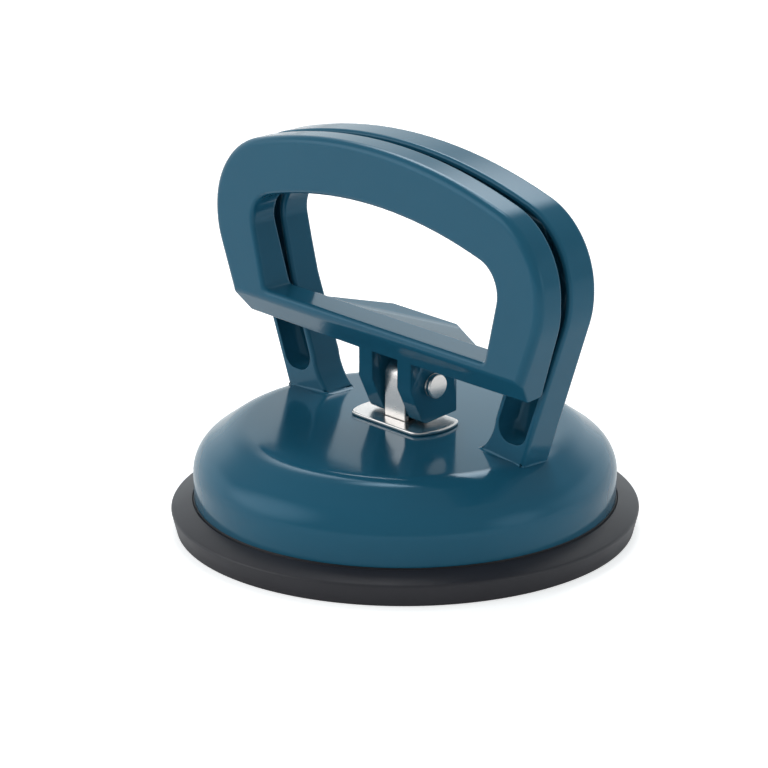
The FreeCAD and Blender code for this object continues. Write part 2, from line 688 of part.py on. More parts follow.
above = s.handle_height + s.grip_depth
trim = sketch(fixed, "YZ_Plane", "fixed_lean")
past_back = s.fixed_back_foot + s.fixed_wall
outline(trim, [
    (s.fixed_back_foot, leg_root - mid_wall), (past_back, leg_root - mid_wall), (past_back, above),
    (s.fixed_back, above), (s.fixed_back, sill + s.fixed_back_rise),
])
feature(fixed, "Pocket", trim, both=True, through=True)

housing = doc.addObject("Part::Fuse", "dome_housing")
housing.Base = dome
housing.Tool = fixed
doc.recompute()
node(housing)

# Lever -----------------------------------------------------------------------------------------------
lever = node(body("lever_handle"))
lever_outside, lever_crown = grip_outside(bar_bottom, Dim(0, "0"))
lever_window, lever_window_arc = window_top(Dim(0, "0"))
lever_loop = sketch(lever, "XZ_Plane", "lever_loop", -s.lever_front)
outline(lever_loop, lever_outside + mirrored(lever_outside), {2: lever_crown})
lever_opening = [(window_side_x(sill, Dim(0, "0")), sill)] + lever_window
outline(lever_loop, lever_opening + mirrored(lever_opening), {2: lever_window_arc})
feature(lever, "Pad", lever_loop, s.lever_back - s.lever_front, turned=True)
channel(lever, "lever_channel", s.lever_wall, sill + s.lever_wall, -s.lever_back,
        s.lever_back - s.lever_front - s.lever_floor, True)
grip_rounding(lever, "lever", bar_bottom, s.lever_wall)
dress(lever, "Fillet", "lever_sill", s.sill_round, lambda edge: across(edge, [lever_opening[0]]))
lean = sketch(lever, "YZ_Plane", "lever_lean")
beyond = s.lever_front - s.lever_wall
behind = s.lever_back + s.lever_wall
outline(lean, [(beyond, bar_bottom), (s.lever_front, bar_bottom), (s.lever_front_top, s.handle_height),
               (s.lever_front_top, above), (beyond, above)])
outline(lean, [(bevel_back, bar_bottom), (bevel_back, bar_bottom - s.lever_wall),
               (behind, bar_bottom - s.lever_wall), (behind, above), (s.lever_back_top, above),
               (s.lever_back_top, window_side), (s.lever_back, bar_bottom + s.lever_bottom_rise)])
feature(lever, "Pocket", lean, both=True, through=True)
bevel = sketch(lever, "YZ_Plane", "bar_bevel")
outline(bevel, [(beyond, bar_bottom - s.lever_wall), (bevel_back, bar_bottom - s.lever_wall),
                (bevel_back, bar_bottom), (s.lever_front, bevel_top), (beyond, bevel_top)])
feature(lever, "Pocket", bevel, both=True, through=True)
hollow = sketch(lever, "XY_Plane", "bar_hollow", bar_bottom)
hollow_end = leg_outer(bar_bottom, s.lever_wall * 2)
hollow_front = bevel_back + s.lever_wall
hollow_back = s.lever_back - s.lever_wall
hollow_start = s.lug_outer + s.lever_wall
outline(hollow, box_points(hollow_start, hollow_end, hollow_front, hollow_back))
outline(hollow, box_points(-hollow_end, -hollow_start, hollow_front, hollow_back))
feature(lever, "Pocket", hollow, s.bar_height - s.bar_strip - s.web_thickness * MIDDLE, turned=True)
web = outline(sketch(lever, "XY_Plane", "lever_web", web_bottom), [
    (-s.web_reach, s.lever_back - s.lever_wall), (s.web_reach, s.lever_back - s.lever_wall),
    (s.web_reach, s.lever_back), (s.web_half_width, s.web_back), (-s.web_half_width, s.web_back),
    (-s.web_reach, s.lever_back),
])
feature(lever, "Pad", web, s.web_thickness)
kink = pin_height - s.lug_kink
lug_top = web_bottom + s.web_thickness * MIDDLE
lugs = outline(sketch(lever, "YZ_Plane", "lever_lugs"), [
    (s.lug_nose, nose_height), (s.lug_back, nose_height + s.lug_heel_rise), (s.lug_back, web_bottom),
    (s.web_back, lug_top), (bevel_back, lug_top), (bevel_back, kink),
])
feature(lever, "Pad", lugs, s.lug_outer * 2, both=True)
below = nose_height - s.cam_gap
between = outline(sketch(lever, "YZ_Plane", "lug_slot"), [
    (beyond, below), (behind + s.lug_back, below), (behind + s.lug_back, web_bottom),
    (hollow_front, web_bottom), (hollow_front, bar_bottom), (beyond, bar_bottom),
])
feature(lever, "Pocket", between, s.lug_inner * 2, both=True)
pin_bore = disc(sketch(lever, "YZ_Plane", "pin_bore"), s.pin_y, pin_height, s.pin_radius + s.pin_fit)
feature(lever, "Pocket", pin_bore, both=True, through=True)
dress(lever, "Fillet", "lug_noses", s.lug_nose_round,
      lambda edge: all(math.hypot(v.Y - s.lug_nose.value, v.Z - nose_height.value) < 0.1
                       for v in edge.Vertexes))

# Check and write -------------------------------------------------------------------------------------
doc.recompute()
for item in doc.Objects:
    if "Invalid" in item.State or "Error" in item.State:
        raise RuntimeError(f"{item.Name} is {item.State}")
os.makedirs("parts", exist_ok=True)
for item in NODES:
    if item.Shape.isNull() or not item.Shape.isValid():
        raise RuntimeError(f"{item.Label} has no sound shape")
    item.Shape.exportStep(f"parts/{item.Label}.step")
    print(f"{item.Label}: {len(item.Shape.Solids)} solid(s), {item.Shape.Volume:.1f} mm3")
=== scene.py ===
"""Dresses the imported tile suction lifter: enamelled castings, a moulded rubber pad and polished steel.

Lengths in the fields are millimetres, as on a workshop drawing, and MM turns them to Blender's
metres; only the lamps' and the floor's are metres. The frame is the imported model's: the pad's foot
is at z = 0, +X runs along the grip and +Y points from the lever to the fixed handle.
"""
import logging
import math
from dataclasses import dataclass, field
from enum import Enum
from typing import Any

import bmesh
import bpy
import numpy as np
from mathutils import Matrix, Vector


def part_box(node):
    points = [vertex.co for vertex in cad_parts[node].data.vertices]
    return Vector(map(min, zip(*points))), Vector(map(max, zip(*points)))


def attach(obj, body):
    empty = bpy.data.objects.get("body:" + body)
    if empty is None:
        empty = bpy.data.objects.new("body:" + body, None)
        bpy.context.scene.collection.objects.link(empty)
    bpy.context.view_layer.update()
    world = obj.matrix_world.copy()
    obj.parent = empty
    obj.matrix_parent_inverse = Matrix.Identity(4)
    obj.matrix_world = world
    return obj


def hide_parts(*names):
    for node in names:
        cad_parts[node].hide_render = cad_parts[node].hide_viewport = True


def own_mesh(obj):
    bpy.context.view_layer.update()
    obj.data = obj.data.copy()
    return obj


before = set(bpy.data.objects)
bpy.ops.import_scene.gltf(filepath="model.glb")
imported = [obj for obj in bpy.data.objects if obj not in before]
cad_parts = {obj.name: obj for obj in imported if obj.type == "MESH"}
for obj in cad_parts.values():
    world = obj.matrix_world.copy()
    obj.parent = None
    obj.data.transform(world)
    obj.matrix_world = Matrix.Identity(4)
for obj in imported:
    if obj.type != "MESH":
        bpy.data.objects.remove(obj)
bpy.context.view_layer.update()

MM = 0.001
EVERYWHERE = ((-70, -70, -1), (70, 70, 110))  # corners of a box round the whole tool
SAME_POINT = 1e-6  # metres between points of a new surface that count as one
SAME_CAD_POINT = 2e-6  # the same between the corners of a CAD node's loose triangles
FLAT_ANGLE = math.radians(0.5)  # CAD triangles that bend less than this are one face
SHARP_ANGLE = math.radians(25.0)  # faces that bend more than this meet in a sharp edge
LOG = logging.getLogger("tile_lifter")

Triple = tuple[float, float, float]


class Body(Enum):
    """The rigid bodies that the pieces ride on."""

    HOUSING = "housing"
    STRAP = "strap"
    LEVER = "lever"


class Slot(Enum):
    """The record's material slots."""

    ENAMEL = "painted_casting"
    RUBBER = "pad_rubber"
    BRIGHT = "bright_steel"
    PLAIN = "plain_steel"


# Colour and nodes --------------------------------------------------------------------------------
def linear(code: str) -> tuple[float, float, float, float]:
    """Turns an sRGB colour to Blender's linear one.

    Args:
        code: six hex digits after a hash sign.

    Returns:
        Linear red, green and blue with an alpha of 1.
    """
    channels = [int(code[i:i + 2], 16) / 255 for i in (1, 3, 5)]
    flat = [c / 12.92 if c <= 0.04045 else ((c + 0.055) / 1.055) ** 2.4 for c in channels]
    return flat[0], flat[1], flat[2], 1.0


def add_node(tree: bpy.types.NodeTree, kind: str, inputs: dict[str, Any] | None = None,
             **settings: Any) -> bpy.types.Node:
    """Adds one node with its settings, values and links.

    Args:
        tree: the node tree to add to.
        kind: the node's type name.
        inputs: by the input's name, or by its number where names repeat, a plain value or an output
            socket to link from.
        **settings: attributes of the node itself.

    Returns:
        The new node.
    """
    made = tree.nodes.new(kind)
    for name, value in settings.items():
        setattr(made, name, value)
    for name, value in (inputs or {}).items():
        socket = made.inputs[int(name)] if name.isdigit() else made.inputs[name]
        if isinstance(value, bpy.types.NodeSocket):
            tree.links.new(value, socket)
        else:
            socket.default_value = value
    return made


def fresh_material(name: str) -> tuple[bpy.types.Material, bpy.types.NodeTree]:
    """Makes an empty node material.

    Args:
        name: the material's name.

    Returns:
        The material and its cleared node tree.
    """
    made = bpy.data.materials.new(name)
    made.use_nodes = True
    made.node_tree.nodes.clear()
    return made, made.node_tree


def mottle(tree: bpy.types.NodeTree, place: bpy.types.NodeSocket, size: float, first: str, second: str,
           detail: float = 2.0) -> bpy.types.NodeSocket:
    """Mixes two near colours by soft noise.

    Args:
        tree: the material's nodes.
        place: object coordinates in metres.
        size: width of one cloud in millimetres.
        first: one colour as sRGB hex.
        second: the other colour.
        detail: octaves of the noise.

    Returns:
        The mixed colour.
    """
    cloud = add_node(tree, "ShaderNodeTexNoise",
                     {"Vector": place, "Scale": 1 / (size * MM), "Detail": detail, "Roughness": 0.5})
    mix = add_node(tree, "ShaderNodeMix", {"0": cloud.outputs["Fac"], "6": linear(first),
                                           "7": linear(second)}, data_type="RGBA")
    return mix.outputs[2]


def drift(tree: bpy.types.NodeTree, place: bpy.types.NodeSocket, size: float, low: float, high: float,
          detail: float = 3.0) -> bpy.types.NodeSocket:
    """Lets a value, such as a roughness, wander softly over a surface.

    Args:
        tree: the material's nodes.
        place: object coordinates in metres.
        size: width of one blot in millimetres.
        low: the value where the noise is 0.
        high: the value where the noise is 1.
        detail: octaves of the noise.

    Returns:
        The wandering value.
    """
    blot = add_node(tree, "ShaderNodeTexNoise", {"Vector": place, "Scale": 1 / (size * MM), "Detail": detail})
    span = add_node(tree, "ShaderNodeMapRange", {"Value": blot.outputs["Fac"], "To Min": low, "To Max": high})
    return span.outputs["Result"]


def grain(tree: bpy.types.NodeTree, place: bpy.types.NodeSocket, size: float, height: float,
          detail: float = 2.0) -> bpy.types.NodeSocket:
    """Bumps a surface with noise of a real grain.

    Args:
        tree: the material's nodes.
        place: object coordinates in metres.
        size: width of one grain in millimetres.
        height: height of a grain in millimetres.
        detail: octaves of the noise.

    Returns:
        The bumped normal.
    """
    cloud = add_node(tree, "ShaderNodeTexNoise",
                     {"Vector": place, "Scale": 1 / (size * MM), "Detail": detail, "Roughness": 0.55})
    bump = add_node(tree, "ShaderNodeBump",
                    {"Height": cloud.outputs["Fac"], "Strength": 1.0, "Distance": height * MM})
    return bump.outputs["Normal"]


def strength_by_ray(tree: bpy.types.NodeTree, lit: float, mirrored: float | bpy.types.NodeSocket,
                    seen: float) -> bpy.types.NodeSocket:
    """Gives each kind of ray its own strength.

    Args:
        tree: the nodes of a material or of the world.
        lit: strength as light on other surfaces.
        mirrored: strength in reflections and through glass.
        seen: strength straight to the camera.

    Returns:
        The strength.
    """
    path = add_node(tree, "ShaderNodeLightPath")
    in_mirror = add_node(tree, "ShaderNodeMath", {
        "0": path.outputs["Is Glossy Ray"], "1": path.outputs["Is Transmission Ray"]}, operation="MAXIMUM")
    unseen = add_node(tree, "ShaderNodeMix", {"0": in_mirror.outputs[0], "2": lit, "3": mirrored})
    strength = add_node(tree, "ShaderNodeMix", {
        "0": path.outputs["Is Camera Ray"], "2": unseen.outputs[0], "3": seen})
    return strength.outputs[0]


# Finishes ----------------------------------------------------------------------------------------
@dataclass(frozen=True)
class BakedEnamel:
    """Baked enamel on a zinc casting: one glossy coat whose faint orange peel softens what it mirrors.

    The sheen's tint keeps the coat's reflections on the cool side of white.
    """

    deep: str = "#205A73"
    light: str = "#236079"
    cloud_size: float = 34.0
    sheen_tint: str = "#B8E4FF"
    ior: float = 1.48
    roughness: float = 0.12
    roughness_shares: tuple[float, float] = (0.75, 1.3)
    blot_size: float = 21.0
    blot_detail: float = 2.0
    peel_size: float = 2.2
    peel_height: float = 0.0022
    peel_detail: float = 1.0

    def material(self) -> bpy.types.Material:
        """Builds the enamel's material.

        Returns:
            The material.
        """
        made, tree = fresh_material("baked_enamel_on_zinc_casting")
        place = add_node(tree, "ShaderNodeTexCoord").outputs["Object"]
        least, most = (self.roughness * share for share in self.roughness_shares)
        skin = add_node(tree, "ShaderNodeBsdfPrincipled", {
            "Base Color": mottle(tree, place, self.cloud_size, self.deep, self.light),
            "Roughness": drift(tree, place, self.blot_size, least, most, self.blot_detail),
            "Normal": grain(tree, place, self.peel_size, self.peel_height, self.peel_detail),
            "IOR": self.ior, "Specular Tint": linear(self.sheen_tint),
        })
        add_node(tree, "ShaderNodeOutputMaterial", {"Surface": skin.outputs["BSDF"]})
        return made


@dataclass(frozen=True)
class MouldedRubber:
    """Compression-moulded nitrile rubber: charcoal, satin, with the fine skin of a blasted mould.

    A blasted skin is finer than skin_size, at which it is drawn so that it shows.
    """

    dark: str = "#222026"
    pale: str = "#2C2A31"
    cloud_size: float = 9.0
    cloud_detail: float = 4.0
    ior: float = 1.52
    roughness: float = 0.42
    roughness_steps: tuple[float, float] = (-0.05, 0.08)
    blot_size: float = 14.0
    skin_size: float = 0.5
    skin_height: float = 0.006

    def material(self) -> bpy.types.Material:
        """Builds the rubber's material.

        Returns:
            The material.
        """
        made, tree = fresh_material("moulded_nitrile_rubber")
        place = add_node(tree, "ShaderNodeTexCoord").outputs["Object"]
        least, most = (self.roughness + step for step in self.roughness_steps)
        rubber = add_node(tree, "ShaderNodeBsdfPrincipled", {
            "Base Color": mottle(tree, place, self.cloud_size, self.dark, self.pale, self.cloud_detail),
            "Roughness": drift(tree, place, self.blot_size, least, most),
            "Normal": grain(tree, place, self.skin_size, self.skin_height), "IOR": self.ior,
        })
        add_node(tree, "ShaderNodeOutputMaterial", {"Surface": rubber.outputs["BSDF"]})
        return made


@dataclass(frozen=True)
class WorkedSteel:
    """Bare or plated steel, with the fine lines that its last tool left.

    The lines are noise drawn out along X, or round it on a turned piece. Real ones are finer than
    line_width, at which they are drawn so that they show.
    """

    name: str
    tone: str
    roughness: float
    line_width: float
    line_height: float
    around_x: bool = False
    line_stretch: float = 0.03
    roughness_shares: tuple[float, float] = (0.8, 1.3)
    blot_size: float = 6.0

    def material(self) -> bpy.types.Material:
        """Builds the steel's material.

        Returns:
            The material.
        """
        made, tree = fresh_material(self.name)
        place = add_node(tree, "ShaderNodeTexCoord").outputs["Object"]
        along, across = self.line_stretch, 1.0
        stretch = (across, along, along) if self.around_x else (along, across, across)
        lines_at = add_node(tree, "ShaderNodeMapping", {"Vector": place, "Scale": stretch})
        least, most = (self.roughness * share for share in self.roughness_shares)
        steel = add_node(tree, "ShaderNodeBsdfPrincipled", {
            "Base Color": linear(self.tone), "Metallic": 1.0,
            "Roughness": drift(tree, place, self.blot_size, least, most),
            "Normal": grain(tree, lines_at.outputs["Vector"], self.line_width, self.line_height),
        })
        add_node(tree, "ShaderNodeOutputMaterial", {"Surface": steel.outputs["BSDF"]})
        return made


# Sheet steel rubbed on a fine belt: bright, with a soft sheen along the belt's way.
POLISHED = WorkedSteel("satin_polished_steel", "#E6E2DF", 0.24, 0.12, 0.0004)
# Bar steel turned in a lathe: the brightest steel on the tool, with lines round the pin.
TURNED = WorkedSteel("turned_steel_pin", "#E7E3E0", 0.22, 0.1, 0.0005, around_x=True)
# Steel under a thin coat of zinc: greyer and duller, with coarser lines.
ZINC_PLATED = WorkedSteel("zinc_plated_steel", "#B4B5B2", 0.34, 0.3, 0.003)


# Meshes ------------------------------------------------------------------------------------------
def grid_faces(rows: int, columns: int, wrap_rows: bool, wrap_columns: bool) -> np.ndarray:
    """Numbers the quads of a grid of points, row by row.

    Args:
        rows: points along the first parameter.
        columns: points along the second parameter.
        wrap_rows: joins the last row to the first.
        wrap_columns: joins the last column to the first.

    Returns:
        One row of four point numbers per quad.
    """
    i, j = np.meshgrid(np.arange(rows - (not wrap_rows)), np.arange(columns - (not wrap_columns)),
                       indexing="ij")
    i, j = i.ravel(), j.ravel()
    up, right = (i + 1) % rows, (j + 1) % columns
    return np.stack([i * columns + j, i * columns + right, up * columns + right, up * columns + j], axis=1)


def surface(name: str, points: np.ndarray, wrap_rows: bool = False,
            wrap_columns: bool = False) -> bpy.types.Object:
    """Makes an object from a grid of points; doubled points at poles and seams are merged.

    Args:
        name: the piece's name.
        points: array of rows x columns x 3, in metres.
        wrap_rows: joins the last row to the first.
        wrap_columns: joins the last column to the first.

    Returns:
        The linked object, at the origin and unscaled.
    """
    rows, columns = points.shape[:2]
    faces = grid_faces(rows, columns, wrap_rows, wrap_columns)
    mesh = bpy.data.meshes.new(name)
    mesh.from_pydata(points.reshape(-1, 3).tolist(), [], faces.tolist())
    form = bmesh.new()
    form.from_mesh(mesh)
    bmesh.ops.remove_doubles(form, verts=form.verts, dist=SAME_POINT)
    bmesh.ops.recalc_face_normals(form, faces=form.faces)
    form.to_mesh(mesh)
    form.free()
    mesh.polygons.foreach_set("use_smooth", np.ones(len(mesh.polygons), bool))
    made = bpy.data.objects.new(name, mesh)
    bpy.context.scene.collection.objects.link(made)
    return made


def rounded_profile(corners: list[Triple], steps: int = 6) -> np.ndarray:
    """Rounds the corners of a run of straight lines with arcs.

    At each corner p between the unit directions a (back) and b (on), the arc of radius r touches
    both lines at r / tan(half the angle) from p; its points are the centre plus r times the
    direction that turns evenly from one touch point to the other.

    Args:
        corners: (across, up, radius) of each corner in millimetres; the ends stay sharp.
        steps: lines in each arc.

    Returns:
        Points of the rounded run, n x 2.
    """
    spots = np.array([corner[:2] for corner in corners], float)
    radii = [corner[2] for corner in corners[1:-1]]
    pieces = [spots[:1]]
    for before, here, after, radius in zip(spots[:-2], spots[1:-1], spots[2:], radii):
        back, on = before - here, after - here
        back, on = back / np.linalg.norm(back), on / np.linalg.norm(on)
        if radius <= 0:
            pieces.append(here[None])
            continue
        half = math.acos(float(np.clip(back @ on, -1, 1))) / 2
        centre = here + (back + on) / np.linalg.norm(back + on) * radius / math.sin(half)
        first = here + back * radius / math.tan(half) - centre
        last = here + on * radius / math.tan(half) - centre
        turn = math.pi - 2 * half
        share = np.linspace(0, 1, steps + 1)[:, None]
        arc = (np.sin((1 - share) * turn) * first + np.sin(share * turn) * last) / math.sin(turn)
        pieces.append(centre + arc)
    pieces.append(spots[-1:])
    return np.concatenate(pieces)


def revolved(name: str, profile: np.ndarray, steps: int) -> bpy.types.Object:
    """Turns a profile about the upright axis: (r, z) at angle t goes to (r cos t, r sin t, z).

    Args:
        name: the piece's name.
        profile: radius and height in millimetres, n x 2.
        steps: points round the turn.

    Returns:
        The closed piece.
    """
    turn = np.linspace(0, 2 * np.pi, steps, endpoint=False)
    radius, height = profile[:, :1], profile[:, 1:]
    points = np.stack([radius * np.cos(turn), radius * np.sin(turn), height + 0 * turn], axis=-1)
    return surface(name, points * MM, wrap_rows=True, wrap_columns=True)


@dataclass(frozen=True)
class EdgeZone:
    """Rounding of the runs of sharp edges that lie wholly inside a box, in millimetres.

    A corner that stands out is rounded off; where hollow is true, the zone fills inward corners
    with a fillet instead.
    """

    low: Triple
    high: Triple
    width: float
    hollow: bool = False

    def holds(self, run: list[bmesh.types.BMEdge], inward: bool) -> bool:
        """Tells whether a whole run of edges lies in the zone and bends its way.

        Args:
            run: the edges, in metres.
            inward: whether their corner is an inward one.

        Returns:
            True where the zone's width is the run's.
        """
        inside = (low * MM <= place <= high * MM for edge in run for point in edge.verts
                  for low, place, high in zip(self.low, point.co, self.high))
        return inward == self.hollow and all(inside)


def sharp_runs(form: bmesh.types.BMesh) -> list[tuple[list[bmesh.types.BMEdge], bool]]:
    """Gathers sharp edges into runs that go on through points where just two of them meet.

    Args:
        form: the merged mesh.

    Returns:
        Each run with whether its corner is an inward one.
    """
    bends = {edge: edge.calc_face_angle_signed(0) for edge in form.edges}
    left = {edge for edge, bend in bends.items() if abs(bend) > SHARP_ANGLE}
    all_sharp, runs = set(left), []
    while left:
        start = left.pop()
        run, ends = [start], list(start.verts)
        while ends:
            meeting = [edge for edge in ends.pop().link_edges if edge in all_sharp]
            following = [edge for edge in meeting if edge in left and (bends[edge] < 0) == (bends[start] < 0)]
            if len(meeting) == 2 and following:
                left.discard(following[0])
                run.append(following[0])
                ends.extend(following[0].verts)
        runs.append((run, bends[start] < 0))
    return runs


def rounded_copy(node: str, name: str, zones: tuple[EdgeZone, ...], segments: int = 4) -> bpy.types.Object:
    """Copies a CAD node with its loose triangles merged and its sharp edges rounded zone by zone.

    Args:
        node: the CAD node.
        name: the piece's name.
        zones: where which width of rounding holds; the first that holds a run of edges counts.
        segments: faces across a rounding.

    Returns:
        The piece, with live bevel and weighted-normal modifiers.
    """
    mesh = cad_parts[node].data.copy()
    mesh.name = name
    form = bmesh.new()
    form.from_mesh(mesh)
    bmesh.ops.remove_doubles(form, verts=form.verts, dist=SAME_CAD_POINT)
    bmesh.ops.dissolve_limit(form, angle_limit=FLAT_ANGLE, verts=form.verts, edges=form.edges)
    weights = form.edges.layers.float.new("bevel_weight_edge")
    widest = max(zone.width for zone in zones)
    for run, inward in sharp_runs(form):
        width = next((zone.width for zone in zones if zone.holds(run, inward)), 0)
        for edge in run:
            edge[weights] = width / widest
    form.to_mesh(mesh)
    form.free()
    mesh.materials.clear()
    mesh.polygons.foreach_set("use_smooth", np.ones(len(mesh.polygons), bool))
    made = bpy.data.objects.new(name, mesh)
    bpy.context.scene.collection.objects.link(made)
    bevel = made.modifiers.new("edge_rounding", "BEVEL")
    bevel.width = widest * MM
    bevel.segments = segments
    bevel.limit_method = "WEIGHT"
    bevel.miter_outer = "MITER_ARC"
    bevel.use_clamp_overlap = False
    bevel.loop_slide = False
    bevel.face_strength_mode = "FSTR_ALL"
    normals = made.modifiers.new("face_normals", "WEIGHTED_NORMAL")
    normals.mode = "CORNER_ANGLE"
    normals.use_face_influence = True
    normals.keep_sharp = True
    return made


def fit_out(piece: bpy.types.Object, body: Body, slot: Slot, finish: bpy.types.Material,
            *nodes: str) -> None:
    """Gives a piece its body and finish, and lets it stand for CAD nodes.

    Args:
        piece: the new piece.
        body: the body that carries it.
        slot: the record's slot of its finish; not used.
        finish: its material.
        *nodes: CAD nodes that it replaces.
    """
    piece.data.materials.clear()
    piece.data.materials.append(finish)
    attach(piece, body.value)
    if nodes:
        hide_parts(*nodes)
    LOG.info("%s rides on %s", piece.name, body.value)


def paint_node(node: str, finish: bpy.types.Material) -> None:
    """Gives a CAD node that stays in view its finish.

    Args:
        node: the CAD node.
        finish: its material.
    """
    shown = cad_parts[node]
    shown.data.materials.clear()
    shown.data.materials.append(finish)
    LOG.info("%s keeps its CAD form", node)


# Sub-assemblies ----------------------------------------------------------------------------------
@dataclass
class Castings:
    """The dome with its fixed handle, and the lever, both cast and enamelled.

    Both are copies of their CAD nodes with rounded edges. A smooth skin lies a hair above the dome
    and gives it a wider shoulder than the casting's own.
    """

    enamel: BakedEnamel = field(default_factory=BakedEnamel)
    dome_top: float = 27.7
    crown_sphere: float = 880.0  # radius of the crown's curve
    shoulder: tuple[float, float] = (42.87, 26.8)  # radius and height, before it is rounded
    shoulder_round: float = 11.0
    crease: tuple[float, float] = (53.46, 19.22)
    crease_round: float = 9.0
    rim: tuple[float, float] = (53.25, 8.04)
    rim_round: float = 0.2
    skin_start: float = 7.3  # radius of the inner edge, which the wear plate hides
    skin_start_round: float = 0.01
    skin_end: float = 38.5  # radius where the crown's curve stops, short of the shoulder's arc
    skin_rings: int = 9
    skin_lift: float = 0.015
    skin_rise: float = 0.08
    skin_wall: float = 0.5
    skin_arc_steps: int = 12
    skin_turn_steps: int = 256
    shoulder_sink: float = 0.6
    sink_reach: float = 1.8  # inwards and outwards from the shoulder
    sink_above: float = 0.1  # over the crown
    sink_below: float = 2.5  # under the crown
    lever_zones: tuple[EdgeZone, ...] = (
        EdgeZone((-46, -12.5, 54), (46, -11.4, 86), 1.3),  # front of the window
        EdgeZone((-54, -12.5, 52), (54, -11.4, 53), 0.9),  # top of the bar's bevel
        EdgeZone((-70, -12.5, 52), (70, -11.4, 110), 2.2),  # outer front of the loop
        EdgeZone((-70, -12.5, 45), (70, -6, 53), 1.1),  # sides and foot of the bar's bevel
        EdgeZone((-58.4, -4, 56.8), (58.4, -2.3, 99.5), 0.2),  # mouth of the channel in its back
        EdgeZone((-70, -4, 46.7), (70, -1.5, 110), 1.0),  # back of the loop
        EdgeZone(*EVERYWHERE, 0.3),
    )
    housing_zones: tuple[EdgeZone, ...] = (
        EdgeZone((-58.6, -1.1, 31), (58.6, -0.9, 98.9), 0.2),  # mouth of the channel in the fixed loop
        EdgeZone((-70, -1.1, 26.4), (70, -0.9, 110), 1.0),  # front of the fixed loop
        EdgeZone((-70, 7.4, 25.9), (70, 8.6, 110), 1.1),  # back of the fixed loop
        EdgeZone((-70, -70, 7.9), (70, 70, 8.1), 0.35),  # rim of the dome
        EdgeZone((-12, -12, 20), (12, 12, 28), 0.25),  # slot for the strap
        EdgeZone((-44, -1.1, 25.9), (44, 8.6, 27.4), 0.9, hollow=True),  # where the legs meet the dome
    )

    def crown(self, radius: np.ndarray) -> np.ndarray:
        """Height of the casting's crown at radius r, which is its top less r * r / 2R."""
        return self.dome_top - radius ** 2 / (2 * self.crown_sphere)

    def skin_profile(self) -> np.ndarray:
        """Section of the skin: over the crown, round the shoulder and the crease, down to the rim.

        From the rim it goes back along its inside, the same run drawn in by the wall. The skin's
        crown lies skin_lift over the casting's, plus skin_rise times the square of the way out.

        Returns:
            Radius and height in millimetres of each point, n x 2.
        """
        spread = np.linspace(self.skin_start, self.skin_end, self.skin_rings)
        share = (spread - self.skin_start) / (self.skin_end - self.skin_start)
        height = self.crown(spread) + self.skin_lift + self.skin_rise * share ** 2
        rounds = [self.skin_start_round] + [0.0] * (self.skin_rings - 1)
        over = list(zip(spread.tolist(), height.tolist(), rounds))
        wall = self.skin_wall
        inner_edge = (self.skin_start, over[0][1] - wall, 0.0)
        shoulder, shoulder_height = self.shoulder
        crease, crease_height = self.crease
        rim, rim_height = self.rim
        return rounded_profile([
            inner_edge,
            *over,
            (shoulder, shoulder_height, self.shoulder_round),
            (crease, crease_height, self.crease_round),
            (rim, rim_height, self.rim_round),
            (rim - wall, rim_height, 0.0),
            (crease - wall, crease_height - wall, self.crease_round - wall),
            (shoulder - wall, shoulder_height - wall, self.shoulder_round - wall),
            inner_edge,
        ], self.skin_arc_steps)

    def sink_shoulder(self, casting: bpy.types.Object) -> None:
        """Lowers the casting's own tight shoulder evenly, so that the wider one of the skin covers it.

        Args:
            casting: the housing's copy, whose points at the shoulder's height and radius go down.
        """
        points = np.empty(3 * len(casting.data.vertices))
        casting.data.vertices.foreach_get("co", points)
        points = points.reshape(-1, 3)
        radius, height = np.hypot(points[:, 0], points[:, 1]) / MM, points[:, 2] / MM
        over_crown = height - self.crown(radius)
        near = abs(radius - self.shoulder[0]) < self.sink_reach
        tight = near & (over_crown < self.sink_above) & (over_crown > -self.sink_below)
        points[tight, 2] -= self.shoulder_sink * MM
        casting.data.vertices.foreach_set("co", points.ravel())

    def build(self) -> None:
        """Makes and dresses the skin and both castings."""
        paint = self.enamel.material()
        skin = revolved("dome_face", self.skin_profile(), self.skin_turn_steps)
        fit_out(skin, Body.HOUSING, Slot.ENAMEL, paint)
        housing = rounded_copy("dome_housing", "cast_housing", self.housing_zones)
        self.sink_shoulder(housing)
        fit_out(housing, Body.HOUSING, Slot.ENAMEL, paint, "dome_housing")
        lever = rounded_copy("lever_handle", "cast_lever", self.lever_zones)
        fit_out(lever, Body.LEVER, Slot.ENAMEL, paint, "lever_handle")


